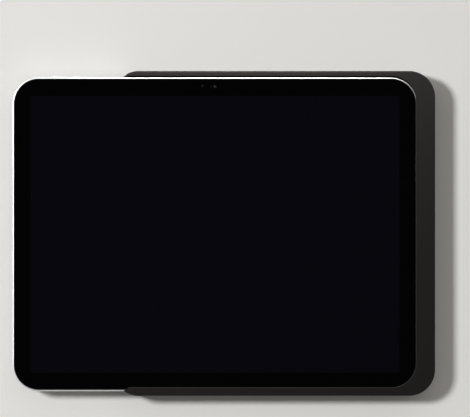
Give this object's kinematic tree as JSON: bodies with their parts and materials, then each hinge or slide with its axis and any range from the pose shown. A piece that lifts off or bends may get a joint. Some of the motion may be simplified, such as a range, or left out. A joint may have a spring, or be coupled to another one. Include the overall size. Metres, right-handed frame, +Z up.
{
  "type": "tablet wall mount",
  "caption": "Square milled tray on a wall plate; a tablet slides in from the left behind a bottom and right lip, on to a docking plug, and overhangs the tray at the left.",
  "frame": {"origin": "centre of the four wall screws, on the wall plane at the back of the wall plate", "axes": "+X to the right as seen by someone facing the mount, +Y into the wall, +Z up"},
  "size_m": [0.2936, 0.0178, 0.2252],
  "materials": {
    "powder_coat": "milled aluminium with a fine-textured matt charcoal coat",
    "plate_metal": "bare rolled aluminium",
    "screw_steel": "zinc-plated steel",
    "black_steel": "blackened steel",
    "felt": "black pressed felt",
    "liner_plastic": "black low-friction plastic",
    "stop_rubber": "soft black rubber",
    "plug_metal": "nickel-plated steel",
    "black_plastic": "moulded black plastic",
    "board_green": "green solder mask",
    "terminal_green": "moulded green plastic",
    "cover_metal": "charcoal powder coat",
    "case_metal": "bead-blasted silver anodised aluminium",
    "black_glass": "polished cover glass, printed black behind",
    "panel_dark": "switched-off display",
    "cell_wrap": "black foil wrap",
    "lens_glass": "coated dark lens glass"
  },
  "bodies": {
    "mount": {"housing": "powder_coat", "wall_plate": "plate_metal", "hanging_studs": "screw_steel", "locking_screws": "black_steel", "tray_pads": "felt", "channel_liner": "liner_plastic", "end_stops": "stop_rubber", "dock_plug": "plug_metal", "plug_block": "black_plastic", "plug_carrier": "black_plastic", "carrier_screws": "screw_steel", "dock_board": "board_green", "terminal_block": "terminal_green", "terminal_screws": "screw_steel", "bay_cover": "cover_metal", "bay_cover_screws": "screw_steel"},
    "tablet": {"tablet_case": "case_metal", "cover_glass": "black_glass", "display_panel": "panel_dark", "front_camera": "black_plastic", "light_sensor": "black_plastic", "charge_port": "plug_metal", "main_board": "board_green", "battery_cells": "cell_wrap", "speakers": "black_plastic", "rear_camera_ring": "case_metal", "rear_camera_lens": "lens_glass"},
    "power_key": {"power_button": "case_metal"},
    "volume_up_key": {"volume_up_button": "case_metal"},
    "volume_down_key": {"volume_down_button": "case_metal"}
  },
  "joints": [
    {"name": "tablet_slide", "type": "slide", "parent": "mount", "child": "tablet", "axis": [1, 0, 0], "range_m": [-0.2, 0]},
    {"name": "power_press", "type": "slide", "parent": "tablet", "child": "power_key", "axis": [1, 0, 0], "range_m": [0, 0.0003], "stiffness_N_per_m": 4000},
    {"name": "volume_up_press", "type": "slide", "parent": "tablet", "child": "volume_up_key", "axis": [0, 0, -1], "range_m": [0, 0.0003], "stiffness_N_per_m": 4000},
    {"name": "volume_down_press", "type": "slide", "parent": "tablet", "child": "volume_down_key", "axis": [0, 0, -1], "range_m": [0, 0.0003], "stiffness_N_per_m": 4000}
  ]
}
